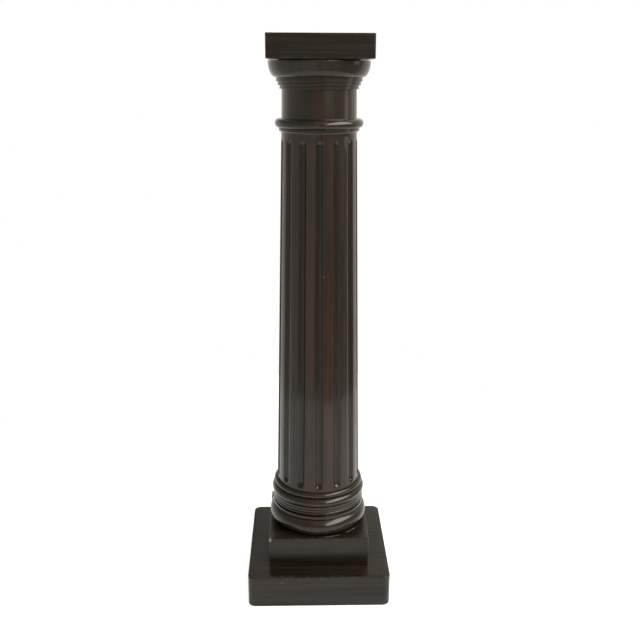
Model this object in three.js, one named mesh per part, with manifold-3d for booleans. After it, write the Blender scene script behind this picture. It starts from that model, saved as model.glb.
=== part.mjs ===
// A column pedestal of dark stained wood: two square plinth blocks, a turned base, a tapered fluted shaft,
// a turned capital and a square abacus, stacked on one upright axis.
// Millimetres, +Z up, origin at the centre of the underside. One flute faces the front, which is -Y.
import * as THREE from "three";
import { mergeVertices } from "three/addons/utils/BufferGeometryUtils.js";
import Module from "manifold-3d";

// Square blocks: side, height, plan radius of the upright corners, and easing of the level edges.
const LOWER_PLINTH = { side: 238, height: 55, corner: 12, easing: 2 };
const UPPER_PLINTH = { side: 167.6, height: 52, corner: 1.5, easing: 0.8 };
const ABACUS = { side: 157.6, height: 35, corner: 1.2, easing: 0.8 };

// Turned base, from the bottom up. A torus or bead has an outermost radius and a section radius, and may be
// sunk into the member under it. A quirk is the fine groove between two members.
const LOWER_TORUS = { radius: 83.5, section: 16.3 };
const TORUS_QUIRK_RADIUS = 75;
const LOWER_FILLET = { radius: 77.6, height: 4.2 };
const NECKING = { radius: 73.5, height: 3.8 };
const LOWER_BEAD = { radius: 78.4, section: 2.2 };
const QUIRK = { radius: 76.4, height: 0.6 };
const MIDDLE_FILLET = { radius: 77.8, height: 3.6 };
const UPPER_FILLET = { radius: 77.6, height: 4.2 };
const UPPER_TORUS = { radius: 79.5, section: 8.4, sunk: 1.8 };
const UPPER_BEAD = { radius: 76, section: 4.75 };

// Shaft: straight taper, then a cavetto that swells into the fillet under the capital.
const SHAFT = { height: 593, footRadius: 70.5, neckRadius: 58.9 };
const SHAFT_FILLET = { radius: 62.6, height: 4 };
const CAVETTO_HEIGHT = 6.5;

// Flutes: how many, the width and depth at the lower and upper end, and the margins of plain shaft beyond them.
const FLUTE_COUNT = 14;
const FLUTE_FOOT = { width: 13.8, depth: 5, margin: 6.2 };
const FLUTE_HEAD = { width: 12.4, depth: 4.5, margin: 17.5 };

// Turned capital, from the bottom up. The annulets step outwards under the echinus, and a narrow sunk reveal
// parts the echinus from the abacus.
const ASTRAGAL = { radius: 68.7, section: 7 };
const NECK = { footRadius: 58.3, headRadius: 57.6, height: 43.6 };
const ANNULETS = [
  { radius: 60.9, height: 5.5 },
  { radius: 63.8, height: 5.4 },
  { radius: 66.3, height: 6.2 },
];
const ECHINUS = { footRadius: 66.8, radius: 78.3, height: 24.2 };
const REVEAL = { radius: 63, height: 1.6 };

// Facets: sides of a turned piece, with a whole number to each flute, and steps along a curve.
const TURNED_SIDES = FLUTE_COUNT * 3;
const ARC_STEPS = 3;
const CORNER_STEPS = 2;
const FLUTE_SIDES = 16;
const FLUTE_END_STEPS = 2;

const STAIN = { color: 0x2b211b, roughness: 0.35, metalness: 0 };
const RIGHT_ANGLE = Math.PI / 2;

const wasm = await Module();
wasm.setup();

// A square outline with rounded corners, centred on the axis.
function roundedSquare(side, corner) {
  const inner = side / 2 - corner;
  const outline = new THREE.Shape();
  outline.absarc(inner, inner, corner, 0, RIGHT_ANGLE);
  outline.absarc(-inner, inner, corner, RIGHT_ANGLE, 2 * RIGHT_ANGLE);
  outline.absarc(-inner, -inner, corner, 2 * RIGHT_ANGLE, 3 * RIGHT_ANGLE);
  outline.absarc(inner, -inner, corner, 3 * RIGHT_ANGLE, 4 * RIGHT_ANGLE);
  outline.closePath();
  return outline;
}

// A square block standing on z = 0, with its level edges eased.
function blockGeometry({ side, height, corner, easing }) {
  const geometry = new THREE.ExtrudeGeometry(roundedSquare(side, corner), {
    depth: height - 2 * easing,
    curveSegments: CORNER_STEPS,
    bevelSize: easing,
    bevelThickness: easing,
    bevelOffset: -easing,
    bevelSegments: 2,
  });
  return geometry.translate(0, 0, easing);
}

// A profile of radius against height, turned about the upright axis.
function turnedGeometry(profile, sides = TURNED_SIDES, steps = ARC_STEPS) {
  const geometry = new THREE.LatheGeometry(profile.getPoints(steps), sides);
  return geometry.rotateX(RIGHT_ANGLE);
}

// Adds a half-round to a profile, upwards from the given height, and returns the height of its crown.
// Its upper side runs in as far as the neck radius, which is the middle of its section unless stated.
function addHalfRound(profile, { radius, section, sunk = 0 }, foot, neck = radius - section) {
  const middle = radius - section;
  const centre = foot - sunk + section;
  const start = Math.asin(sunk / section - 1);
  const end = Math.acos((neck - middle) / section);
  profile.lineTo(middle + section * Math.cos(start), foot);
  profile.absarc(middle, centre, section, start, end);
  return centre + section;
}

// Adds an upright band to a profile, stepping out or in to its radius, and returns the height of its top.
function addBand(profile, { radius, height }, foot) {
  profile.lineTo(radius, foot);
  profile.lineTo(radius, foot + height);
  return foot + height;
}

function baseMouldingGeometry() {
  const profile = new THREE.Path();
  profile.moveTo(0, 0);
  let level = addHalfRound(profile, LOWER_TORUS, 0, TORUS_QUIRK_RADIUS);
  profile.lineTo(TORUS_QUIRK_RADIUS, level);
  level = addBand(profile, LOWER_FILLET, level);
  level = addBand(profile, NECKING, level);
  level = addHalfRound(profile, LOWER_BEAD, level);
  level = addBand(profile, QUIRK, level);
  level = addBand(profile, MIDDLE_FILLET, level);
  level = addBand(profile, QUIRK, level);
  level = addBand(profile, UPPER_FILLET, level);
  level = addHalfRound(profile, UPPER_TORUS, level);
  level = addHalfRound(profile, UPPER_BEAD, level);
  profile.lineTo(0, level);
  return { geometry: turnedGeometry(profile), height: level };
}

// The turned blank of the shaft, before its flutes are cut.
function shaftBlankGeometry() {
  const filletFoot = SHAFT.height - SHAFT_FILLET.height;
  const cavettoFoot = filletFoot - CAVETTO_HEIGHT;
  const profile = new THREE.Path();
  profile.moveTo(0, 0);
  profile.lineTo(SHAFT.footRadius, 0);
  profile.lineTo(SHAFT.neckRadius, cavettoFoot);
  profile.quadraticCurveTo(SHAFT.neckRadius, filletFoot, SHAFT_FILLET.radius, filletFoot);
  profile.lineTo(SHAFT_FILLET.radius, SHAFT.height);
  profile.lineTo(0, SHAFT.height);
  return turnedGeometry(profile);
}

// Radius of the tapered shaft at a height above its foot.
function shaftRadius(height) {
  const cavettoFoot = SHAFT.height - SHAFT_FILLET.height - CAVETTO_HEIGHT;
  return THREE.MathUtils.lerp(SHAFT.footRadius, SHAFT.neckRadius, height / cavettoFoot);
}

// Section radius of a round-bottomed flute of the given width and depth.
function fluteSection({ width, depth }) {
  return (width * width / 4 + depth * depth) / (2 * depth);
}

// A round-ended tapered rod that follows the shaft's slope, placed to cut the flute that faces the front.
function fluteCutterGeometry() {
  const foot = fluteSection(FLUTE_FOOT);
  const head = fluteSection(FLUTE_HEAD);
  const footLevel = FLUTE_FOOT.margin + foot;
  const headLevel = SHAFT.height - FLUTE_HEAD.margin - head;
  const footReach = shaftRadius(footLevel) - FLUTE_FOOT.depth + foot;
  const headReach = shaftRadius(headLevel) - FLUTE_HEAD.depth + head;
  const length = headLevel - footLevel;
  const profile = new THREE.Path();
  profile.absarc(0, 0, foot, -RIGHT_ANGLE, 0);
  profile.absarc(0, length, head, 0, RIGHT_ANGLE);
  const lean = Math.atan2(footReach - headReach, length);
  const geometry = turnedGeometry(profile, FLUTE_SIDES, FLUTE_END_STEPS);
  return geometry.rotateX(-lean).translate(0, -footReach, footLevel);
}

// A closed geometry as a solid that can be cut.
function solidOf(geometry) {
  const bare = geometry.clone();
  bare.deleteAttribute("normal");
  bare.deleteAttribute("uv");
  const merged = mergeVertices(bare);
  const vertProperties = merged.attributes.position.array;
  const triVerts = new Uint32Array(merged.index.array);
  return new wasm.Manifold(new wasm.Mesh({ numProp: 3, vertProperties, triVerts }));
}

// A cut solid as a geometry again.
function geometryOf(solid) {
  const { vertProperties, triVerts } = solid.getMesh();
  const geometry = new THREE.BufferGeometry();
  geometry.setAttribute("position", new THREE.BufferAttribute(vertProperties, 3));
  geometry.setIndex(new THREE.BufferAttribute(triVerts, 1));
  geometry.computeVertexNormals();
  return geometry;
}

function flutedShaftGeometry() {
  const cutter = fluteCutterGeometry();
  let shaft = solidOf(shaftBlankGeometry());
  for (let index = 0; index < FLUTE_COUNT; index += 1) {
    const turned = cutter.clone().rotateZ(2 * Math.PI * index / FLUTE_COUNT);
    shaft = shaft.subtract(solidOf(turned));
  }
  return geometryOf(shaft);
}

function capitalGeometry() {
  const profile = new THREE.Path();
  profile.moveTo(0, 0);
  let level = addHalfRound(profile, ASTRAGAL, 0);
  profile.lineTo(NECK.footRadius, level);
  level += NECK.height;
  profile.lineTo(NECK.headRadius, level);
  for (const annulet of ANNULETS) {
    level = addBand(profile, annulet, level);
  }
  const swell = ECHINUS.radius - ECHINUS.footRadius;
  profile.absellipse(ECHINUS.footRadius, level + ECHINUS.height, swell, ECHINUS.height, -RIGHT_ANGLE, 0);
  level += ECHINUS.height;
  level = addBand(profile, REVEAL, level);
  profile.lineTo(0, level);
  return { geometry: turnedGeometry(profile), height: level };
}

// Stacks the pieces upwards from the floor, each resting on the one below.
function buildPedestal() {
  const base = baseMouldingGeometry();
  const capital = capitalGeometry();
  const courses = [
    ["lower_plinth", blockGeometry(LOWER_PLINTH), LOWER_PLINTH.height],
    ["upper_plinth", blockGeometry(UPPER_PLINTH), UPPER_PLINTH.height],
    ["base_moulding", base.geometry, base.height],
    ["fluted_shaft", flutedShaftGeometry(), SHAFT.height],
    ["capital", capital.geometry, capital.height],
    ["abacus", blockGeometry(ABACUS), ABACUS.height],
  ];
  const pedestal = new THREE.Group();
  pedestal.name = "column_pedestal";
  let level = 0;
  for (const [name, geometry, height] of courses) {
    const piece = new THREE.Mesh(geometry, new THREE.MeshStandardMaterial(STAIN));
    piece.name = name;
    piece.position.z = level;
    pedestal.add(piece);
    level += height;
  }
  return pedestal;
}

export default buildPedestal();
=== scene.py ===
"""Looks of a column pedestal of dark stained wood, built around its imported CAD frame."""

import math

import bpy
from bpy.props import FloatProperty, FloatVectorProperty, IntProperty, PointerProperty
from mathutils import Matrix, Vector, noise


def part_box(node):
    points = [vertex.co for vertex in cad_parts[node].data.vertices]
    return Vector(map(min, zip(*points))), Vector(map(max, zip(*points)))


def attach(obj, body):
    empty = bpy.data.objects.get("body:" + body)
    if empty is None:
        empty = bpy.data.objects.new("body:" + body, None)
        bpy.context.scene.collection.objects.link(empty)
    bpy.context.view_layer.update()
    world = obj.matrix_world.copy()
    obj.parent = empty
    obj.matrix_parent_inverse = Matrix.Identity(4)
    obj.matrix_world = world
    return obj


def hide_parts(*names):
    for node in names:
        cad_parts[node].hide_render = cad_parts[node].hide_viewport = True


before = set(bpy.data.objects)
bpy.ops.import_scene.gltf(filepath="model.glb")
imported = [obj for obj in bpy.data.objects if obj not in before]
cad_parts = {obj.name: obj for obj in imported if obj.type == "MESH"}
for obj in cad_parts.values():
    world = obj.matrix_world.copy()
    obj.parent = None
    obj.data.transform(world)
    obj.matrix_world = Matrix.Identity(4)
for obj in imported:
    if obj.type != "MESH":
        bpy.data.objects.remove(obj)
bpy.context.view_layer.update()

bl_info = {
    "name": "Column Pedestal",
    "version": (1, 0, 0),
    "blender": (4, 5, 0),
    "location": "View3D > Sidebar > Pedestal",
    "description": "Builds a fluted column pedestal of stained wood in a plain studio",
    "category": "Add Mesh",
}

MM = 0.001
BODY = "root"

# Names of the point attributes that the wood finish reads.
EDGE = "edge"
HOLLOW = "hollow"
BARE = "bare_and_glint"

# Fineness of the meshes.
ARC_STEP = math.radians(7.5)
EASING_STEPS = 4
TURNED_ROW = 2.6 * MM
BLOCK_ROW = 2.6 * MM
CORNER_STEPS = 8
TOP_RINGS = 14
TOP_CROWDING = 1.3
SMALLEST_RING = 0.2 * MM
PLAIN_SECTORS = 30
PLAIN_COLUMNS = 8
SAME_POINT = 1e-6
CRISP_LIMIT = 5.0 * MM

# Wood: noise cells to the metre, across the grain and along it.
FIGURE_CELLS = (34.0, 2.2)
STRIPE_CELLS = (190.0, 4.0)
FIBRE_CELLS = (620.0, 9.0)
PORE_CELLS = (1500.0, 70.0)
RIPPLE_CELLS = (60.0, 18.0)
CLOUD_CELLS = 14.0
PATCH_CELLS = 95.0

# Wood: share of the figure, the stripes and the fibre in its shade, and its reflection under the lacquer.
FIGURE_SHARE = 0.35
STRIPE_SHARE = 0.4
FIBRE_SHARE = 0.25
BASE_SPECULAR = 0.08

# A red streak, a painted reflection of something red in front of a turned piece: how far it wanders, its
# core and edge to either side, and the levels between which it fades.
STREAK_WANDER = 14.0 * MM
STREAK_CORE = 3.0 * MM
STREAK_EDGE = 14.0 * MM
STREAK_FRONT = 30.0 * MM
STREAK_LEVELS = (0.4, 0.75)
STREAK_FADE = 0.6

# A chip: ragged cells to the metre and how ragged it is.
CHIP_CELLS = 260.0
CHIP_RAGGEDNESS = 0.5

# Panels that light the column from the right, facing straight across to the left: place and size in metres.
WINDOW_PLACE = (1.75, -2.5, 2.45)
WINDOW_SIZE = (5.2, 2.5)
DOOR_PLACE = (1.3, -0.05, 0.765)
DOOR_SIZE = (0.36, 0.17)
WHITE = (1.0, 1.0, 1.0, 1.0)
FLOOR_SIDES = 96
SENSOR_WIDTH = 36.0


def length(name, millimetres, description):
    """A property for a size, with its default in millimetres."""
    return FloatProperty(
        name=name,
        description=description,
        default=millimetres * MM,
        min=0.0,
        precision=4,
        unit="LENGTH",
    )


def share(name, default, description):
    """A property for a strength between nothing and all."""
    return FloatProperty(
        name=name, description=description, default=default, min=0.0, max=1.0, subtype="FACTOR"
    )


def angle(name, degrees, description):
    """A property for an angle, with its default in degrees."""
    return FloatProperty(
        name=name, description=description, default=math.radians(degrees), subtype="ANGLE"
    )


def colour(name, default, description):
    """A property for a linear colour."""
    return FloatVectorProperty(
        name=name, description=description, default=default, min=0.0, max=1.0, subtype="COLOR"
    )


def strength(name, default, description):
    """A property for the brightness of a light."""
    return FloatProperty(name=name, description=description, default=default, min=0.0)


class BlockSizes(bpy.types.PropertyGroup):
    """Sizes of the square blocks that the frame doesn't give."""

    lower_corner: length("Lower plinth corner", 12.0, "Plan radius of its upright corners")
    lower_easing: length("Lower plinth easing", 2.0, "Rounding of its level edges")
    crisp_corner: length("Crisp corner", 1.5, "Plan radius of the other blocks' upright corners")
    crisp_easing: length("Crisp easing", 0.8, "Rounding of the other blocks' level edges")
    chip_reach: length("Chip reach", 4.0, "How far the chip runs from the corner it broke off")
    chip_depth: length("Chip depth", 1.0, "How deep the chip is at its middle")


class BaseSizes(bpy.types.PropertyGroup):
    """Members of the turned base, from the bottom up."""

    torus_radius: length("Lower torus radius", 83.5, "Outermost radius of the lower torus")
    torus_section: length("Lower torus section", 16.3, "Section radius of the lower torus")
    torus_quirk: length("Torus quirk radius", 75.0, "Radius of the groove above the lower torus")
    fillet_radius: length("Lower fillet radius", 77.6, "Radius of the fillet on the torus")
    fillet_height: length("Lower fillet height", 4.2, "Height of the fillet on the torus")
    necking_radius: length("Necking radius", 73.5, "Radius of the sunk band over the fillet")
    necking_height: length("Necking height", 3.8, "Height of the sunk band over the fillet")
    bead_radius: length("Lower bead radius", 78.4, "Outermost radius of the lower bead")
    bead_section: length("Lower bead section", 2.2, "Section radius of the lower bead")
    quirk_radius: length("Quirk radius", 76.4, "Radius of the fine grooves between members")
    quirk_height: length("Quirk height", 0.6, "Height of the fine grooves between members")
    middle_radius: length("Middle fillet radius", 77.8, "Radius of the middle fillet")
    middle_height: length("Middle fillet height", 3.6, "Height of the middle fillet")
    upper_radius: length("Upper fillet radius", 77.6, "Radius of the fillet under the upper torus")
    upper_height: length("Upper fillet height", 4.2, "Height of the fillet under the upper torus")
    ring_radius: length("Upper torus radius", 79.5, "Outermost radius of the upper torus")
    ring_section: length("Upper torus section", 8.4, "Section radius of the upper torus")
    ring_sunk: length("Upper torus sunk", 1.8, "How far the upper torus is sunk into its fillet")
    crown_radius: length("Upper bead radius", 76.0, "Outermost radius of the bead at the top")
    crown_section: length("Upper bead section", 4.75, "Section radius of the bead at the top")
    easing: length("Arris easing", 0.45, "Rounding of the arrises and creases")


class ShaftSizes(bpy.types.PropertyGroup):
    """Taper, fillet and flutes of the shaft."""

    foot_radius: length("Foot radius", 70.5, "Radius at the foot of the shaft")
    neck_radius: length("Neck radius", 58.9, "Radius under the cavetto")
    fillet_radius: length("Fillet radius", 62.6, "Radius of the fillet at the top of the shaft")
    fillet_height: length("Fillet height", 4.0, "Height of the fillet at the top of the shaft")
    cavetto_height: length("Cavetto height", 6.5, "Height of the hollow that swells into the fillet")
    flutes: IntProperty(name="Flutes", description="Number of flutes", default=14, min=3)
    columns: IntProperty(
        name="Columns", description="Mesh columns to each flute and fillet", default=20, min=8
    )
    foot_width: length("Flute width, foot", 13.8, "Width of a flute at its lower end")
    foot_depth: length("Flute depth, foot", 5.0, "Depth of a flute at its lower end")
    foot_margin: length("Flute margin, foot", 6.2, "Plain shaft under the flutes")
    head_width: length("Flute width, head", 12.4, "Width of a flute at its upper end")
    head_depth: length("Flute depth, head", 4.5, "Depth of a flute at its upper end")
    head_margin: length("Flute margin, head", 17.5, "Plain shaft over the flutes")
    arris_round: length("Arris rounding", 0.3, "Softness of the flutes' edges")
    arris_reach: length("Arris wear reach", 1.6, "How far the rubbed edge runs from an arris")
    easing: length("Easing", 0.4, "Rounding of the turned arrises")


class CapitalSizes(bpy.types.PropertyGroup):
    """Members of the turned capital, from the bottom up."""

    astragal_radius: length("Astragal radius", 68.7, "Outermost radius of the astragal")
    astragal_section: length("Astragal section", 7.0, "Section radius of the astragal")
    neck_foot: length("Neck foot radius", 58.3, "Radius of the neck above the astragal")
    neck_head: length("Neck head radius", 57.6, "Radius of the neck under the annulets")
    neck_height: length("Neck height", 43.6, "Height of the plain neck")
    annulet_1_radius: length("First annulet radius", 60.9, "Radius of the lowest annulet")
    annulet_1_height: length("First annulet height", 5.5, "Height of the lowest annulet")
    annulet_2_radius: length("Second annulet radius", 63.8, "Radius of the middle annulet")
    annulet_2_height: length("Second annulet height", 5.4, "Height of the middle annulet")
    annulet_3_radius: length("Third annulet radius", 66.3, "Radius of the highest annulet")
    annulet_3_height: length("Third annulet height", 6.2, "Height of the highest annulet")
    echinus_foot: length("Echinus foot radius", 66.8, "Radius at the foot of the echinus")
    echinus_radius: length("Echinus radius", 78.3, "Radius at the top of the echinus")
    echinus_height: length("Echinus height", 24.2, "Height of the swelling part")
    reveal_radius: length("Reveal radius", 63.0, "Radius of the sunk gap under the abacus")
    reveal_height: length("Reveal height", 1.6, "Height of the sunk gap under the abacus")
    easing: length("Arris easing", 0.6, "Rounding of the arrises and creases")


class WoodFinish(bpy.types.PropertyGroup):
    """Stain, lacquer and wear, with the colours that also draw the painted shade, glints and reflections."""

    deep: colour("Deep stain", (0.0045, 0.0037, 0.0024), "Where the stain is darkest")
    warm: colour("Warm stain", (0.0145, 0.0112, 0.0068), "Where the wood shows through the stain")
    # This red also draws the painted reflections of something red in front of the turned pieces.
    red: colour("Red heartwood", (0.0300, 0.0105, 0.0062), "Redder streaks of heartwood")
    # Dark polish in the pores; this colour also paints shade into the creases and down the flutes.
    grime_and_shade: colour("Grime", (0.0030, 0.0026, 0.0020), "Old polish in pores, creases and flutes")
    rubbed: colour("Rubbed edge", (0.042, 0.032, 0.022), "Thin stain on rubbed arrises")
    # Pale wood in chips and scuffs; this colour also draws the painted glint at the foot of the lower torus.
    bare_and_glint: colour("Bare wood", (0.30, 0.27, 0.23), "Pale wood in a chip or scuff")
    sheen: share("Sheen", 0.3, "Roughness of the stained wood under the lacquer")
    lacquer: share("Lacquer", 0.45, "Weight of the lacquer coat")
    gloss: share("Lacquer roughness", 0.09, "Roughness of the lacquer on the base and the shaft")
    capital_gloss: share("Capital lacquer", 0.15, "Roughness of the lacquer on the capital")
    block_lacquer: share("Block lacquer weight", 0.36, "Weight of the lacquer coat on the square blocks")
    block_gloss: share("Block lacquer", 0.24, "Roughness of the lacquer on the square blocks")
    wear: share("Edge wear", 0.35, "How much the arrises are rubbed")
    relief: share("Grain relief", 0.07, "Strength of the grain's bump")


class StudioSettings(bpy.types.PropertyGroup):
    """Camera, floor and light."""

    lens: FloatProperty(name="Lens", description="Focal length in mm", default=46.37, min=1.0)
    distance: length("Camera distance", 1309.6, "From the column's axis to the camera")
    height: length("Camera height", 859.4, "Height of the camera over the floor")
    heading: angle("Heading", 1.3, "How far the camera stands to the left of the front")
    tilt: angle("Tilt", 16.684, "How far the camera looks down")
    pan: angle("Pan", -0.111, "How far the camera looks to the left of the axis")
    roll: angle("Roll", 0.22, "How far the camera is turned on its line of sight")
    floor: colour("Floor", (0.45, 0.45, 0.45), "Colour of the plain floor")
    floor_glow: strength("Floor glow", 0.84, "Light that the translucent floor gives off")
    floor_radius: length("Floor radius", 1000.0, "Radius of the plain floor")
    window_light: strength("Window", 9.3, "Radiance of the window on the right")
    door_light: strength("Door", 2.0, "Radiance of the narrow panel beside the window")
    warmth: colour("Warmth", (1.0, 0.945, 0.87), "Tint of the light from the room and the windows")
    backdrop: strength("Backdrop", 1.15, "Radiance of the white backdrop")
    left_wall: strength("Left wall", 0.95, "Radiance of the wall on the left")
    right_wall: strength("Right wall", 0.28, "Radiance of the wall on the right")
    room: strength("Room", 0.25, "Radiance of the room in front of the column")
    ground_left: strength("Ground, left", 1.0, "Radiance of the ground beyond the floor on the left")
    ground_right: strength("Ground, right", 0.4, "Radiance of the ground beyond the floor on the right")
    ceiling_left: strength("Ceiling, left", 0.42, "Radiance of the ceiling on the left")
    ceiling_right: strength("Ceiling, right", 1.0, "Radiance of the ceiling on the right")


class PedestalSettings(bpy.types.PropertyGroup):
    """Everything that a user may change."""

    blocks: PointerProperty(type=BlockSizes)
    base: PointerProperty(type=BaseSizes)
    shaft: PointerProperty(type=ShaftSizes)
    capital: PointerProperty(type=CapitalSizes)
    wood: PointerProperty(type=WoodFinish)
    studio: PointerProperty(type=StudioSettings)


class Value:
    """An output socket; arithmetic on it adds Math nodes to its tree."""

    def __init__(self, nodes, socket):
        self.nodes = nodes
        self.socket = socket

    def math(self, operation, *others):
        sockets = dict(enumerate((self, *others)))
        return self.nodes.add("ShaderNodeMath", sockets, operation=operation)

    def reflected(self, operation, other):
        return self.nodes.add("ShaderNodeMath", {0: other, 1: self}, operation=operation)

    def __add__(self, other):
        return self.math("ADD", other)

    def __radd__(self, other):
        return self.reflected("ADD", other)

    def __sub__(self, other):
        return self.math("SUBTRACT", other)

    def __rsub__(self, other):
        return self.reflected("SUBTRACT", other)

    def __mul__(self, other):
        return self.math("MULTIPLY", other)

    def __rmul__(self, other):
        return self.reflected("MULTIPLY", other)

    def __truediv__(self, other):
        return self.math("DIVIDE", other)

    def __rtruediv__(self, other):
        return self.reflected("DIVIDE", other)

    def __abs__(self):
        return self.math("ABSOLUTE")

    def ramp(self, low, high):
        """0 below low, 1 above high, and a smooth rise between them."""
        sockets = {"Value": self, "From Min": low, "From Max": high}
        return self.nodes.add("ShaderNodeMapRange", sockets, interpolation_type="SMOOTHSTEP")


class Nodes:
    """Adds nodes to one tree."""

    def __init__(self, tree):
        self.tree = tree
        tree.nodes.clear()

    def add(self, kind, sockets=None, output=0, **settings):
        """A node of that type, with its settings made first and its sockets fed with values or links."""
        node = self.tree.nodes.new(kind)
        for name, value in settings.items():
            setattr(node, name, value)
        for key, value in (sockets or {}).items():
            self.feed(self.find(node.inputs, key), value)
        return Value(self, self.find(node.outputs, output)) if node.outputs else node

    @staticmethod
    def find(sockets, key):
        """A socket by its number, or by its identifier or name among those in use."""
        if isinstance(key, int):
            return sockets[key]
        used = [socket for socket in sockets if socket.enabled]
        named = [s for s in used if s.identifier == key] or [s for s in used if s.name == key]
        if not named:
            raise KeyError(f"no socket {key!r} among {[socket.name for socket in used]}")
        return named[0]

    def feed(self, socket, value):
        if isinstance(value, Value):
            self.tree.links.new(value.socket, socket)
        else:
            socket.default_value = value

    def mix(self, factor, first, second):
        """The first colour where factor is 0, the second where it is 1."""
        sockets = {"Factor_Float": factor, "A_Color": first, "B_Color": second}
        return self.add("ShaderNodeMix", sockets, "Result_Color", data_type="RGBA")

    def vector(self, operation, first, second, output="Vector"):
        return self.add("ShaderNodeVectorMath", {0: first, 1: second}, output, operation=operation)

    def noise(self, place, scale, detail, distortion=0.0):
        sockets = {"Vector": place, "Scale": scale, "Detail": detail, "Distortion": distortion}
        return self.add("ShaderNodeTexNoise", sockets, "Fac")


def tone(rgb):
    """A colour property as the four numbers of a colour socket."""
    return (*rgb, 1.0)


def stained_wood(
    name, along, offset, lacquer, gloss, streaks=(), scuffs=(), scuffed=1.0, glint_arcs=(), faded=0.0
):
    """Dark stained and lacquered wood with its grain along an axis, shifted so that no two pieces match.

    Lacquer is the weight of its clear coat, and gloss the roughness of that coat. A streak is a direction in
    plan, in radians from the front, where a painted reflection of something red in front reddens that side
    of the piece, and how red. Scuffs are points where the finish is rubbed through, each with its reach, and
    scuffed says how far. The painted glints are pale lines round the axis, each with its radius, width,
    direction, spread and strength. Faded wood shows more of its warm colour. Creases and flutes are darkened
    with painted shade.
    """
    finish = bpy.context.scene.pedestal.wood
    material = bpy.data.materials.new(name)
    material.use_nodes = True
    nodes = Nodes(material.node_tree)
    place = nodes.add("ShaderNodeTexCoord", output="Object")
    turn = {"X": (0.0, math.pi / 2, 0.0), "Z": (0.0, 0.0, 0.0)}[along]
    grain = nodes.add(
        "ShaderNodeMapping", {"Vector": place, "Location": offset, "Rotation": turn}
    )

    def stretched(cells, detail, distortion=0.0):
        across, lengthwise = cells
        drawn = nodes.vector("MULTIPLY", grain, (across, across, lengthwise))
        return nodes.noise(drawn, 1.0, detail, distortion)

    figure = stretched(FIGURE_CELLS, 3.0, 0.8)
    stripes = stretched(STRIPE_CELLS, 2.0, 0.4)
    fibre = stretched(FIBRE_CELLS, 4.0)
    pores = stretched(PORE_CELLS, 1.0).ramp(0.63, 0.74)
    cloud = nodes.noise(grain, CLOUD_CELLS, 3.0)
    ripple = stretched(RIPPLE_CELLS, 1.0)

    def stored(attribute):
        return nodes.add("ShaderNodeAttribute", output="Fac", attribute_name=attribute)

    edge = stored(EDGE)
    hollow = stored(HOLLOW)
    patchy = nodes.noise(place, PATCH_CELLS, 3.0).ramp(0.42, 0.66)
    rubbed = edge.ramp(0.15, 0.9) * patchy * finish.wear
    # Painted shade: darker in the creases and towards the bottom of each flute.
    grime_and_shade = (0.0 - edge).ramp(0.1, 0.8) * 0.5 + hollow * (0.12 + 0.3 * cloud)

    bare_and_glint = stored(BARE)
    for point, reach in scuffs:
        gap = nodes.vector("DISTANCE", place, point, "Value")
        rough_gap = gap + (fibre - 0.5) * (reach * 0.9)
        bare_and_glint = bare_and_glint.math("MAXIMUM", (1.0 - rough_gap.ramp(reach * 0.3, reach)) * scuffed)

    # Painted glints: pale lines round the axis, drawn in the colour of chips and scuffs.
    for arc in glint_arcs:
        bare_and_glint = bare_and_glint.math("MAXIMUM", painted_glint_arc(nodes, place, *arc) * patchy)

    shade = figure * FIGURE_SHARE + stripes * STRIPE_SHARE + fibre * FIBRE_SHARE + faded
    wood = nodes.mix(shade.ramp(0.36, 0.66), tone(finish.deep), tone(finish.warm))
    redness = cloud.ramp(0.5, 0.8) * 0.3
    # Painted reflections: red streaks on the side of a turned piece that faces each given direction.
    for streak in streaks:
        redness = redness.math("MAXIMUM", heartwood_and_reflection(nodes, place, figure, *streak))
    wood = nodes.mix(redness * stripes.ramp(0.3, 0.6), wood, tone(finish.red))
    wood = nodes.mix(pores * 0.6, wood, tone(finish.grime_and_shade))
    # Painted shade darkens the creases and the flutes.
    wood = nodes.mix(grime_and_shade.math("MINIMUM", 0.85), wood, tone(finish.grime_and_shade))
    wood = nodes.mix(rubbed, wood, tone(finish.rubbed))
    # Chips and scuffs, and the painted glints, in the same pale colour.
    wood = nodes.mix(bare_and_glint, wood, tone(finish.bare_and_glint))

    rough = finish.sheen + (fibre - 0.5) * 0.12 + (cloud - 0.5) * 0.14 + rubbed * 0.2 + bare_and_glint * 0.3
    coat = (lacquer - (cloud - 0.5) * 0.25 - rubbed * 0.4 - hollow * 0.05) * (1.0 - bare_and_glint)
    relief = fibre * 0.35 - pores * 0.5 + ripple * 1.6 - bare_and_glint * 1.2
    bump = nodes.add(
        "ShaderNodeBump", {"Strength": finish.relief, "Distance": 0.5 * MM, "Height": relief}
    )
    shader = nodes.add(
        "ShaderNodeBsdfPrincipled",
        {
            "Base Color": wood,
            "Roughness": rough,
            "Specular IOR Level": BASE_SPECULAR,
            "Coat Weight": coat,
            "Coat Roughness": gloss,
            "Normal": bump,
        },
    )
    nodes.add("ShaderNodeOutputMaterial", {"Surface": shader})
    return material


def heartwood_and_reflection(nodes, place, figure, direction, redness):
    """A mask for a red streak that runs up a turned piece in one direction of its plan, a painted reflection
    of something red in front, on the side that faces that way.
    """
    across = (math.cos(direction), math.sin(direction), 0.0)
    outward = (math.sin(direction), -math.cos(direction), 0.0)
    aside = nodes.vector("DOT_PRODUCT", place, across, "Value")
    front = nodes.vector("DOT_PRODUCT", place, outward, "Value")
    wander = (figure - 0.5) * STREAK_WANDER
    level = nodes.add("ShaderNodeSeparateXYZ", {"Vector": place}, "Z")
    narrow = 1.0 - abs(aside + wander).ramp(STREAK_CORE, STREAK_EDGE)
    fading = 1.0 - level.ramp(*STREAK_LEVELS) * STREAK_FADE
    return narrow * front.ramp(0.0, STREAK_FRONT) * fading * redness


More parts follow.
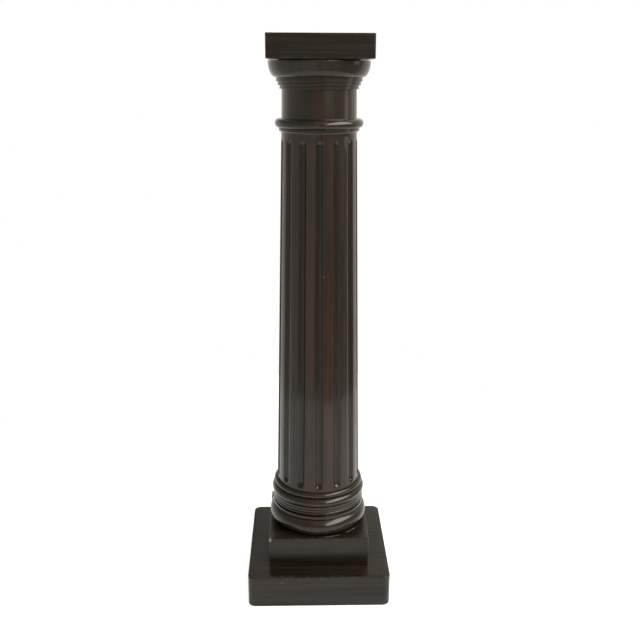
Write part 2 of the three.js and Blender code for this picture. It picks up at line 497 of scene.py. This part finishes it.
def painted_glint_arc(nodes, place, radius, width, direction, spread, strong):
    """A mask for a painted glint: a thin pale line that runs part of the way round the axis."""
    plan = nodes.vector("MULTIPLY", place, (1.0, 1.0, 0.0))
    reach = nodes.vector("DISTANCE", plan, (0.0, 0.0, 0.0), "Value")
    outward = (math.sin(direction), -math.cos(direction), 0.0)
    facing = nodes.vector("DOT_PRODUCT", plan, outward, "Value") / reach
    near = facing.ramp(math.cos(spread), math.cos(0.6 * spread))
    return (1.0 - abs(reach - radius).ramp(0.5 * width, width)) * near * strong


def on_turning(direction, radius, level):
    """A point on a turned surface, in degrees from the front and in millimetres."""
    turn = math.radians(direction)
    return Vector((radius * math.sin(turn), -radius * math.cos(turn), level)) * MM


class Profile:
    """A turned outline of radius against height, from the axis at the foot to the axis at the head."""

    def __init__(self, foot):
        self.level = foot
        self.points = [Vector((0.0, foot))]

    def out_to(self, radius, rise=0.0):
        self.level += rise
        self.points.append(Vector((radius, self.level)))

    def band(self, radius, height):
        """An upright band that steps out or in to its radius."""
        self.out_to(radius)
        self.out_to(radius, height)

    def arc(self, middle, centre, radius, height, start, end):
        """Part of an ellipse about a point, from one angle to another."""
        steps = max(3, round(abs(end - start) / ARC_STEP))
        for step in range(steps + 1):
            turn = start + (end - start) * step / steps
            point = (middle + radius * math.cos(turn), centre + height * math.sin(turn))
            self.points.append(Vector(point))

    def half_round(self, radius, section, sunk=0.0, neck=None):
        """A torus or bead, sunk into what is under it and cut off at the neck radius above."""
        middle = radius - section
        centre = self.level - sunk + section
        start = math.asin(sunk / section - 1.0)
        end = math.pi / 2 if neck is None else math.acos((neck - middle) / section)
        self.arc(middle, centre, section, section, start, end)
        self.level = centre + section

    def close(self):
        self.out_to(0.0)

    def eased(self, easing):
        """The outline as (radius, height, edge) with eased corners and short rows.

        The edge is 1 on an arris, -1 in a crease and 0 on plain surface.
        """
        points = [self.points[0]]
        for point in self.points[1:]:
            if (point - points[-1]).length > SAME_POINT:
                points.append(point)
        outline = [(*points[0], 0.0)]
        for before, corner, after in zip(points, points[1:], points[2:]):
            outline += eased_corner(before, corner, after, easing)
        outline.append((*points[-1], 0.0))
        return subdivided(outline, TURNED_ROW)


def eased_corner(before, corner, after, easing):
    """One corner of an outline as (radius, height, edge), rounded if it is sharp."""
    arriving = (corner - before).normalized()
    leaving = (after - corner).normalized()
    bend = math.atan2(arriving.cross(leaving), arriving.dot(leaving))
    if abs(bend) < 2.5 * ARC_STEP:
        return [(*corner, 0.0)]
    side = math.copysign(1.0, bend)
    reach_in = min(easing, 0.3 * (corner - before).length)
    reach_out = min(easing, 0.3 * (after - corner).length)
    start = corner - arriving * reach_in
    end = corner + leaving * reach_out
    rows = [(*(corner - arriving * 2.5 * reach_in), 0.0)]
    for step in range(EASING_STEPS + 1):
        along = step / EASING_STEPS
        rounded = start.lerp(corner, along).lerp(corner.lerp(end, along), along)
        rows.append((*rounded, side))
    rows.append((*(corner + leaving * 2.5 * reach_out), 0.0))
    return rows


def subdivided(outline, longest):
    """The outline with no step longer than the given one, apart from those to the axis."""
    rows = [outline[0]]
    for row in outline[1:]:
        last = Vector(rows[-1])
        step = Vector(row) - last
        count = math.ceil(step.xy.length / longest)
        if min(last.x, row[0]) <= 0.0:
            count = 1
        rows += [tuple(last + step * (part / count)) for part in range(1, count)]
        rows.append(row)
    return rows


def geometry_tree(name, inputs):
    """A Geometry Nodes tree with the given (name, socket type) inputs, its builder and its input node."""
    tree = bpy.data.node_groups.new(name, "GeometryNodeTree")
    tree.interface.new_socket("Geometry", in_out="INPUT", socket_type="NodeSocketGeometry")
    tree.interface.new_socket("Geometry", in_out="OUTPUT", socket_type="NodeSocketGeometry")
    for label, kind in inputs:
        tree.interface.new_socket(label, in_out="INPUT", socket_type=kind)
    nodes = Nodes(tree)
    source = tree.nodes.new("NodeGroupInput")
    values = {socket.name: Value(nodes, socket) for socket in source.outputs if socket.name}
    return tree, nodes, values


TURNING_INPUTS = (
    ("Rows", "NodeSocketInt"),
    ("Flutes", "NodeSocketInt"),
    ("Columns", "NodeSocketInt"),
    ("Foot Level", "NodeSocketFloat"),
    ("Head Level", "NodeSocketFloat"),
    ("Foot Radius", "NodeSocketFloat"),
    ("Head Radius", "NodeSocketFloat"),
    ("Foot Width", "NodeSocketFloat"),
    ("Head Width", "NodeSocketFloat"),
    ("Foot Depth", "NodeSocketFloat"),
    ("Head Depth", "NodeSocketFloat"),
    ("Arris Rounding", "NodeSocketFloat"),
    ("Arris Reach", "NodeSocketFloat"),
    ("Material", "NodeSocketMaterial"),
)


def turning_tree():
    """Turns an outline about the upright axis and sinks round-ended flutes into it.

    The outline is a row of points with the radius in X and the height in Z. One flute faces -Y.
    """
    tree, nodes, given = geometry_tree("Turning", TURNING_INPUTS)
    outline = given["Geometry"]
    sides = given["Flutes"] * given["Columns"]
    grid = nodes.add(
        "GeometryNodeMeshGrid",
        {"Size X": 1.0, "Size Y": 1.0, "Vertices X": sides + 1, "Vertices Y": given["Rows"]},
    )
    flat = nodes.add("GeometryNodeInputPosition")
    split = {"Vector": flat}
    around = nodes.add("ShaderNodeSeparateXYZ", split, "X") + 0.5
    upwards = nodes.add("ShaderNodeSeparateXYZ", split, "Y") + 0.5
    row = (upwards * (given["Rows"] - 1)).math("ROUND")

    def sampled(field, data_type):
        sockets = {"Geometry": outline, "Value": field, "Index": row}
        return nodes.add("GeometryNodeSampleIndex", sockets, data_type=data_type)

    spot = {"Vector": sampled(nodes.add("GeometryNodeInputPosition"), "FLOAT_VECTOR")}
    radius = nodes.add("ShaderNodeSeparateXYZ", spot, "X")
    height = nodes.add("ShaderNodeSeparateXYZ", spot, "Z")
    named = nodes.add("GeometryNodeInputNamedAttribute", {"Name": EDGE}, data_type="FLOAT")
    outline_edge = sampled(named, "FLOAT")

    rise = (height - given["Foot Level"]) / (given["Head Level"] - given["Foot Level"])
    rise = rise.math("MAXIMUM", 0.0).math("MINIMUM", 1.0)

    def tapered(size):
        return given[f"Foot {size}"] + (given[f"Head {size}"] - given[f"Foot {size}"]) * rise

    width = tapered("Width")
    depth = tapered("Depth")
    shaft_radius = tapered("Radius")
    pitch = 2.0 * math.pi / given["Flutes"]
    taken = width / (pitch * shaft_radius)

    turns = around * given["Flutes"] + 0.5
    flute = turns.math("FLOOR")
    aside = (turns - flute) * 2.0 - 1.0
    reach = abs(aside)
    inside = reach.math("MINIMUM", 0.5)
    spread = inside * taken + (reach - inside) * (1.0 - taken)
    bearing = (flute + aside.math("SIGN") * spread) * pitch

    beyond = (given["Foot Level"] - height).math("MAXIMUM", height - given["Head Level"])
    beyond = beyond.math("MAXIMUM", 0.0)
    lateral = spread * pitch * shaft_radius
    distance = (lateral * lateral + beyond * beyond).math("SQRT")
    section = (width * width * 0.25 + depth * depth) / (2.0 * depth)
    bowl = (section * section - distance * distance).math("MAXIMUM", 0.0).math("SQRT")
    cut = bowl - (section - depth)
    soft = given["Arris Rounding"]
    sunk = (cut + (cut * cut + soft * soft).math("SQRT")) * 0.5
    sunk = sunk * (1.0 - ((distance / width) - 0.5).ramp(0.02, 0.25))

    from_arris = abs(distance - width * 0.5)
    arris = 1.0 - from_arris.ramp(0.0, given["Arris Reach"])
    fluted = given["Foot Depth"].ramp(0.0, 0.1 * MM)
    edge = outline_edge.math("MAXIMUM", arris * fluted)
    edge = outline_edge + (edge - outline_edge) * (0.0 - outline_edge).ramp(0.5, -0.5)

    def stored(mesh, name, value):
        sockets = {"Geometry": mesh, "Name": name, "Value": value}
        return nodes.add("GeometryNodeStoreNamedAttribute", sockets, data_type="FLOAT")

    mesh = stored(grid, EDGE, edge)
    mesh = stored(mesh, HOLLOW, (cut / depth).math("MAXIMUM", 0.0) * fluted)
    sunk = sunk * fluted
    out = radius - sunk
    sockets = {
        "X": out * bearing.math("SINE"),
        "Y": 0.0 - out * bearing.math("COSINE"),
        "Z": height,
    }
    wrapped = nodes.add("ShaderNodeCombineXYZ", sockets)
    mesh = nodes.add("GeometryNodeSetPosition", {"Geometry": mesh, "Position": wrapped})
    mesh = nodes.add("GeometryNodeMergeByDistance", {"Geometry": mesh, "Distance": 0.001 * MM})
    mesh = nodes.add("GeometryNodeSetShadeSmooth", {"Geometry": mesh, "Shade Smooth": True})
    mesh = nodes.add("GeometryNodeRealizeInstances", {"Geometry": mesh})
    mesh = nodes.add(
        "GeometryNodeSetMaterial", {"Geometry": mesh, "Material": given["Material"]}
    )
    nodes.add("NodeGroupOutput", {"Geometry": mesh})
    return tree


def turned_piece(node, outline, flutes, material):
    """Turns an outline with the Turning tree into the piece that stands for a CAD node."""
    tree = bpy.data.node_groups.get("Turning") or turning_tree()
    mesh = bpy.data.meshes.new(node)
    mesh.from_pydata([(radius, 0.0, height) for radius, height, _ in outline], [], [])
    mesh.attributes.new(EDGE, "FLOAT", "POINT").data.foreach_set("value", [row[2] for row in outline])
    piece = bpy.data.objects.new(f"{node}_look", mesh)
    bpy.context.scene.collection.objects.link(piece)
    modifier = piece.modifiers.new("Turning", "NODES")
    modifier.node_group = tree
    values = {"Rows": len(outline), "Material": material, **flutes}
    for item in tree.interface.items_tree:
        if item.in_out == "INPUT" and item.name in values:
            modifier[item.identifier] = values[item.name]
    depsgraph = bpy.context.evaluated_depsgraph_get()
    settled = bpy.data.meshes.new_from_object(piece.evaluated_get(depsgraph))
    piece.modifiers.clear()
    piece.data = settled
    if len(settled.polygons) == 0:
        raise RuntimeError(f"{node}: the turning came out empty")
    return placed(piece, node)


def plain_turning():
    """Flute settings for a turned piece without flutes, whose columns are evenly spaced."""
    half_pitch = math.pi / PLAIN_SECTORS
    return {
        "Flutes": PLAIN_SECTORS,
        "Columns": PLAIN_COLUMNS,
        "Foot Level": 0.0,
        "Head Level": 1.0,
        "Foot Radius": 1.0,
        "Head Radius": 1.0,
        "Foot Width": half_pitch,
        "Head Width": half_pitch,
        "Foot Depth": 0.0,
        "Head Depth": 0.0,
    }


def placed(piece, node):
    """Binds a finished piece to the frame in place of a CAD node."""
    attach(piece, BODY)
    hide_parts(node)
    return piece


def square_ring(half, corner, level):
    """Points round a square with rounded corners, at one level, from the front right corner."""
    points = []
    inner = half - corner
    count = max(4, math.ceil(2.0 * inner / BLOCK_ROW))
    for quarter in range(4):
        turn = Matrix.Rotation(quarter * math.pi / 2, 2)
        for step in range(CORNER_STEPS):
            bend = math.pi / 2 * (step / CORNER_STEPS - 1.0)
            rounded = Vector((inner + corner * math.cos(bend), -inner + corner * math.sin(bend)))
            points.append(turn @ rounded)
        for step in range(count):
            points.append(turn @ Vector((half, -inner + 2.0 * inner * step / count)))
    return [(point.x, point.y, level) for point in points]


def block_rings(half, easing, foot, head):
    """Rings of a block, from the middle of its underside to that of its top, as (inset, level, edge)."""
    quarter = [math.pi / 2 * step / EASING_STEPS for step in range(EASING_STEPS + 1)]
    rings = [(easing * (1.0 - math.sin(t)), foot + easing * (1.0 - math.cos(t)), 1.0) for t in quarter]
    rows = math.ceil((head - foot - 2.0 * easing) / BLOCK_ROW)
    rise = (head - foot - 2.0 * easing) / rows
    rings += [(0.0, foot + easing + rise * row, 0.0) for row in range(1, rows)]
    rings += [(easing * (1.0 - math.cos(t)), head - easing * (1.0 - math.sin(t)), 1.0) for t in quarter]
    across = [half * (step / TOP_RINGS) ** TOP_CROWDING for step in range(TOP_RINGS)]
    top = [(half - size, head, 0.0) for size in reversed(across) if half - size > 2.0 * easing]
    underside = [(inset, foot, 0.0) for inset, _, _ in reversed(top)]
    return underside + rings + top


def block_piece(node, corner, easing, material, chips=()):
    """A square block with eased edges that stands for a CAD node, with chips broken off its corners."""
    low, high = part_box(node)
    half = high.x
    vertices, edges, faces = [], [], []
    rings = block_rings(half, easing, low.z, high.z)
    for inset, level, edge in rings:
        size = max(half - inset, SMALLEST_RING)
        ring = square_ring(half, corner, level)
        vertices += [(x * size / half, y * size / half, z) for x, y, z in ring]
        outside = inset < 2.0 * easing
        edges += [max(edge, upright_edge(x, y, half, corner)) * outside for x, y, _ in ring]
    count = len(vertices) // len(rings)
    for ring in range(len(rings) - 1):
        for step in range(count):
            here = ring * count + step
            there = ring * count + (step + 1) % count
            faces.append((here, there, there + count, here + count))
    faces.append(tuple(reversed(range(count))))
    faces.append(tuple(range((len(rings) - 1) * count, len(rings) * count)))
    bare_and_glint = [0.0] * len(vertices)
    for place, reach, depth in chips:
        break_chip(vertices, bare_and_glint, place, reach, depth)
    mesh = bpy.data.meshes.new(node)
    mesh.from_pydata(vertices, [], faces)
    mesh.attributes.new(EDGE, "FLOAT", "POINT").data.foreach_set("value", edges)
    mesh.attributes.new(BARE, "FLOAT", "POINT").data.foreach_set("value", bare_and_glint)
    mesh.shade_smooth()
    mesh.set_sharp_from_angle(angle=math.radians(35.0))
    mesh.materials.append(material)
    piece = bpy.data.objects.new(f"{node}_look", mesh)
    bpy.context.scene.collection.objects.link(piece)
    return placed(piece, node)


def upright_edge(x, y, half, corner):
    """1 on a block's crisp upright corners, and 0 on its flat sides and on wide round corners."""
    crisp = corner < CRISP_LIMIT
    return 1.0 if crisp and min(abs(x), abs(y)) > half - corner - SAME_POINT else 0.0


def break_chip(vertices, bare_and_glint, place, reach, depth):
    """Pushes in the vertices near a place on a block's edge and bares the wood there."""
    inward = -Vector(place).normalized()
    for index, vertex in enumerate(vertices):
        point = Vector(vertex)
        ragged = reach * (1.0 + CHIP_RAGGEDNESS * noise.noise(point * CHIP_CELLS))
        gone = 1.0 - (point - place).length / ragged
        if gone > 0.0:
            vertices[index] = tuple(point + inward * depth * min(1.0, 1.6 * gone))
            bare_and_glint[index] = min(1.0, 2.0 * gone)


class PEDESTAL_OT_square_blocks(bpy.types.Operator):
    """Build the two square plinths and the square abacus"""

    bl_idname = "pedestal.square_blocks"
    bl_label = "Square Blocks"

    def execute(self, context):
        sizes = context.scene.pedestal.blocks
        low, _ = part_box("lower_plinth")
        scuff = (Vector((-62.0 * MM, low.y, 46.0 * MM)), 3.5 * MM)
        nick = (Vector((48.0 * MM, low.y, 3.0 * MM)), 3.0 * MM)
        finish = context.scene.pedestal.wood
        polish = (finish.block_lacquer, finish.block_gloss)
        wood = stained_wood(
            "Lower plinth wood", "X", (0.31, 0.12, 0.05), *polish, scuffs=(scuff, nick), scuffed=0.07
        )
        block_piece("lower_plinth", sizes.lower_corner, sizes.lower_easing, wood)

        low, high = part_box("upper_plinth")
        corner = Vector((low.x, low.y, high.z - 2.0 * MM))
        # A painted glint: a broken pale line round the plinth's top at the foot of the lower torus,
        # strongest on the right.
        glint_line = (79.8 * MM, 0.9 * MM)
        glint_arcs = (
            (*glint_line, math.radians(44.0), math.radians(16.0), 1.0),
            (*glint_line, math.radians(17.0), math.radians(12.0), 0.6),
        )
        wood = stained_wood("Upper plinth wood", "X", (1.22, 0.41, 0.27), *polish, glint_arcs=glint_arcs)
        chip = (corner, sizes.chip_reach, sizes.chip_depth)
        block_piece("upper_plinth", sizes.crisp_corner, sizes.crisp_easing, wood, (chip,))

        wood = stained_wood("Abacus wood", "X", (2.37, 0.83, 0.64), *polish)
        block_piece("abacus", sizes.crisp_corner, sizes.crisp_easing, wood)
        return {"FINISHED"}


class PEDESTAL_OT_turned_mouldings(bpy.types.Operator):
    """Build the turned base and the turned capital"""

    bl_idname = "pedestal.turned_mouldings"
    bl_label = "Turned Mouldings"

    def execute(self, context):
        settings = context.scene.pedestal
        finish = settings.wood
        polish = (finish.lacquer, finish.gloss)
        # A painted reflection: a red streak up the front of the base.
        streaks = ((math.radians(-5.0), 0.5),)
        wood = stained_wood("Base wood", "Z", (0.9, 0.2, 0.3), *polish, streaks, faded=0.08)
        outline = base_outline(settings.base)
        turned_piece("base_moulding", outline, plain_turning(), wood)
        nick = (on_turning(5.0, 67.5, 855.0), 1.5 * MM)
        # A painted reflection: a red streak up the front of the capital.
        streaks = ((math.radians(2.0), 0.8),)
        wood = stained_wood(
            "Capital wood",
            "Z",
            (1.7, 0.6, 0.8),
            finish.lacquer,
            finish.capital_gloss,
            streaks,
            scuffs=(nick,),
            scuffed=0.4,
            faded=0.09,
        )
        outline = capital_outline(settings.capital)
        turned_piece("capital", outline, plain_turning(), wood)
        return {"FINISHED"}


def base_outline(sizes):
    """Outline of the turned base: torus, fillet, necking, bead, two fillets, torus and bead."""
    low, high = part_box("base_moulding")
    profile = Profile(low.z)
    profile.half_round(sizes.torus_radius, sizes.torus_section, neck=sizes.torus_quirk)
    profile.out_to(sizes.torus_quirk)
    profile.band(sizes.fillet_radius, sizes.fillet_height)
    profile.band(sizes.necking_radius, sizes.necking_height)
    profile.half_round(sizes.bead_radius, sizes.bead_section)
    profile.band(sizes.quirk_radius, sizes.quirk_height)
    profile.band(sizes.middle_radius, sizes.middle_height)
    profile.band(sizes.quirk_radius, sizes.quirk_height)
    profile.band(sizes.upper_radius, sizes.upper_height)
    profile.half_round(sizes.ring_radius, sizes.ring_section, sunk=sizes.ring_sunk)
    profile.half_round(sizes.crown_radius, sizes.crown_section)
    profile.close()
    return checked(profile, sizes.easing, "base_moulding", high.z)


def capital_outline(sizes):
    """Outline of the turned capital: astragal, neck, three annulets, echinus and reveal."""
    low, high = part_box("capital")
    profile = Profile(low.z)
    profile.half_round(sizes.astragal_radius, sizes.astragal_section)
    profile.out_to(sizes.neck_foot)
    profile.out_to(sizes.neck_head, sizes.neck_height)
    profile.band(sizes.annulet_1_radius, sizes.annulet_1_height)
    profile.band(sizes.annulet_2_radius, sizes.annulet_2_height)
    profile.band(sizes.annulet_3_radius, sizes.annulet_3_height)
    swell = sizes.echinus_radius - sizes.echinus_foot
    top = profile.level + sizes.echinus_height
    profile.arc(sizes.echinus_foot, top, swell, sizes.echinus_height, -math.pi / 2, 0.0)
    profile.level = top
    profile.band(sizes.reveal_radius, sizes.reveal_height)
    profile.close()
    return checked(profile, sizes.easing, "capital", high.z)


def checked(profile, easing, node, head):
    """The eased outline of a profile, if it ends at the head of its CAD node."""
    if abs(profile.level - head) > 0.05 * MM:
        raise RuntimeError(f"{node}: the outline ends at {profile.level}, and the node at {head}")
    return profile.eased(easing)


# Nicks in the shaft: degrees from the front, radius and height in millimetres, and the reach of each.
SHAFT_NICKS = ((7.3, 63.2, 554.7), (-28.5, 67.7, 325.4), (-3.8, 62.5, 335.1), (-28.9, 66.9, 368.8))
NICK_REACH = 1.6 * MM


class PEDESTAL_OT_fluted_shaft(bpy.types.Operator):
    """Build the tapered shaft with its flutes"""

    bl_idname = "pedestal.fluted_shaft"
    bl_label = "Fluted Shaft"

    def execute(self, context):
        sizes = context.scene.pedestal.shaft
        finish = context.scene.pedestal.wood
        low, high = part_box("fluted_shaft")
        profile = Profile(low.z)
        profile.out_to(sizes.foot_radius)
        fillet_foot = high.z - sizes.fillet_height
        cavetto_foot = fillet_foot - sizes.cavetto_height
        profile.out_to(sizes.neck_radius, cavetto_foot - low.z)
        swell = sizes.fillet_radius - sizes.neck_radius
        profile.arc(
            sizes.fillet_radius, cavetto_foot, swell, sizes.cavetto_height, math.pi, math.pi / 2
        )
        profile.level = fillet_foot
        profile.out_to(sizes.fillet_radius, sizes.fillet_height)
        profile.close()
        outline = checked(profile, sizes.easing, "fluted_shaft", high.z)
        slope = (sizes.neck_radius - sizes.foot_radius) / (cavetto_foot - low.z)
        foot = low.z + sizes.foot_margin + flute_section(sizes.foot_width, sizes.foot_depth)
        head = high.z - sizes.head_margin - flute_section(sizes.head_width, sizes.head_depth)
        flutes = {
            "Flutes": sizes.flutes,
            "Columns": sizes.columns,
            "Foot Level": foot,
            "Head Level": head,
            "Foot Radius": sizes.foot_radius + slope * (foot - low.z),
            "Head Radius": sizes.foot_radius + slope * (head - low.z),
            "Foot Width": sizes.foot_width,
            "Head Width": sizes.head_width,
            "Foot Depth": sizes.foot_depth,
            "Head Depth": sizes.head_depth,
            "Arris Rounding": sizes.arris_round,
            "Arris Reach": sizes.arris_reach,
        }
        nicks = [
            (on_turning(direction, radius, level), NICK_REACH)
            for direction, radius, level in SHAFT_NICKS
        ]
        # Painted reflections: red streaks up the shaft to either side of its front.
        streaks = ((math.radians(13.0), 0.85), (math.radians(-13.0), 0.55))
        wood = stained_wood(
            "Shaft wood",
            "Z",
            (0.4, 1.3, 0.6),
            finish.lacquer,
            finish.gloss,
            streaks,
            scuffs=nicks,
            scuffed=0.2,
            faded=0.09,
        )
        turned_piece("fluted_shaft", outline, flutes, wood)
        return {"FINISHED"}


def flute_section(width, depth):
    """Section radius of a round-bottomed flute."""
    return (width * width / 4.0 + depth * depth) / (2.0 * depth)


class PEDESTAL_OT_studio(bpy.types.Operator):
    """Lay the pale floor and set the soft lights and the camera"""

    bl_idname = "pedestal.studio"
    bl_label = "Studio"

    def execute(self, context):
        studio = context.scene.pedestal.studio
        lay_floor(studio)
        light_room(context.scene, studio)
        hang_panel("Window", studio.window_light, WINDOW_PLACE, WINDOW_SIZE)
        hang_panel("Door", studio.door_light, DOOR_PLACE, DOOR_SIZE)
        set_camera(context.scene, studio)
        context.scene.view_settings.view_transform = "Standard"
        return {"FINISHED"}


def lay_floor(studio):
    """A plain round floor under the column."""
    material = bpy.data.materials.new("Pale floor")
    material.use_nodes = True
    nodes = Nodes(material.node_tree)
    place = nodes.add("ShaderNodeTexCoord", output="Object")
    cloud = nodes.noise(place, 6.0, 2.0)
    pale = Vector(studio.floor)
    paint = nodes.mix(cloud, tone(pale), tone(pale * 0.985))
    sockets = {
        "Base Color": paint,
        "Roughness": 0.8,
        "Emission Color": WHITE,
        "Emission Strength": studio.floor_glow,
    }
    shader = nodes.add("ShaderNodeBsdfPrincipled", sockets)
    nodes.add("ShaderNodeOutputMaterial", {"Surface": shader})
    reach = studio.floor_radius
    turns = [math.tau * step / FLOOR_SIDES for step in range(FLOOR_SIDES)]
    rim = [(reach * math.cos(turn), reach * math.sin(turn), 0.0) for turn in turns]
    mesh = bpy.data.meshes.new("floor")
    mesh.from_pydata(rim, [], [range(FLOOR_SIDES)])
    mesh.materials.append(material)
    floor = bpy.data.objects.new("floor", mesh)
    bpy.context.scene.collection.objects.link(floor)


def light_room(scene, studio):
    """A white backdrop that falls off to a dim room in front of the column."""
    world = bpy.data.worlds.new("Studio")
    world.use_nodes = True
    scene.world = world
    nodes = Nodes(world.node_tree)
    direction = nodes.add("ShaderNodeTexCoord", output="Generated")
    aside = nodes.add("ShaderNodeSeparateXYZ", {"Vector": direction}, "X")
    back = nodes.add("ShaderNodeSeparateXYZ", {"Vector": direction}, "Y")
    up = nodes.add("ShaderNodeSeparateXYZ", {"Vector": direction}, "Z")
    right = aside.ramp(-0.4, 0.4)
    wall = studio.left_wall + (studio.right_wall - studio.left_wall) * right
    wall = studio.room + (wall - studio.room) * back.ramp(-0.8, -0.1)
    wall = wall + (studio.backdrop - wall) * back.ramp(0.1, 0.6)
    ceiling = studio.ceiling_left + (studio.ceiling_right - studio.ceiling_left) * right
    glow = wall + (ceiling - wall) * up.ramp(0.15, 0.42)
    below = (0.0 - up).ramp(-0.02, 0.05) * (0.0 - back).ramp(-0.2, 0.2)
    ground = studio.ground_left + (studio.ground_right - studio.ground_left) * right
    glow = glow + (ground - glow) * below
    seen = nodes.add("ShaderNodeLightPath", output="Is Camera Ray")
    tint = nodes.mix(seen, tone(studio.warmth), WHITE)
    radiance = glow + (1.0 - glow) * seen
    light = nodes.add("ShaderNodeBackground", {"Color": tint, "Strength": radiance})
    nodes.add("ShaderNodeOutputWorld", {"Surface": light})


def hang_panel(name, radiance, place, size):
    """A soft rectangular light of the given radiance, facing straight across to the left."""
    light = bpy.data.lights.new(name, "AREA")
    light.shape = "RECTANGLE"
    light.color = bpy.context.scene.pedestal.studio.warmth
    light.size, light.size_y = size
    light.energy = radiance * math.pi * size[0] * size[1]
    panel = bpy.data.objects.new(name, light)
    panel.location = place
    panel.rotation_euler = Vector((-1.0, 0.0, 0.0)).to_track_quat("-Z", "Y").to_euler()
    panel.visible_camera = False
    bpy.context.scene.collection.objects.link(panel)


def set_camera(scene, studio):
    """The camera at the photograph's angle."""
    data = bpy.data.cameras.new("Camera")
    data.lens = studio.lens
    data.sensor_width = SENSOR_WIDTH
    camera = bpy.data.objects.new("Camera", data)
    stand = Vector((0.0, -studio.distance, studio.height))
    stand.rotate(Matrix.Rotation(-studio.heading, 3, "Z"))
    turn = (
        Matrix.Rotation(studio.pan - studio.heading, 4, "Z")
        @ Matrix.Rotation(math.pi / 2 - studio.tilt, 4, "X")
        @ Matrix.Rotation(studio.roll, 4, "Z")
    )
    camera.matrix_world = Matrix.Translation(stand) @ turn
    scene.collection.objects.link(camera)
    scene.camera = camera


class PEDESTAL_PT_sidebar(bpy.types.Panel):
    """Lists the builders of the pedestal's pieces and its studio"""

    bl_idname = "PEDESTAL_PT_sidebar"
    bl_label = "Column Pedestal"
    bl_space_type = "VIEW_3D"
    bl_region_type = "UI"
    bl_category = "Pedestal"

    def draw(self, context):
        for builder in BUILDERS:
            self.layout.operator(builder.bl_idname)


BUILDERS = (
    PEDESTAL_OT_square_blocks,
    PEDESTAL_OT_turned_mouldings,
    PEDESTAL_OT_fluted_shaft,
    PEDESTAL_OT_studio,
)
CLASSES = (
    BlockSizes,
    BaseSizes,
    ShaftSizes,
    CapitalSizes,
    WoodFinish,
    StudioSettings,
    PedestalSettings,
    *BUILDERS,
    PEDESTAL_PT_sidebar,
)


def register():
    for cls in CLASSES:
        bpy.utils.register_class(cls)
    bpy.types.Scene.pedestal = PointerProperty(type=PedestalSettings)


def unregister():
    del bpy.types.Scene.pedestal
    for cls in reversed(CLASSES):
        bpy.utils.unregister_class(cls)


def main():
    register()
    bpy.ops.pedestal.square_blocks()
    bpy.ops.pedestal.turned_mouldings()
    bpy.ops.pedestal.fluted_shaft()
    bpy.ops.pedestal.studio()


if __name__ == "__main__":
    main()
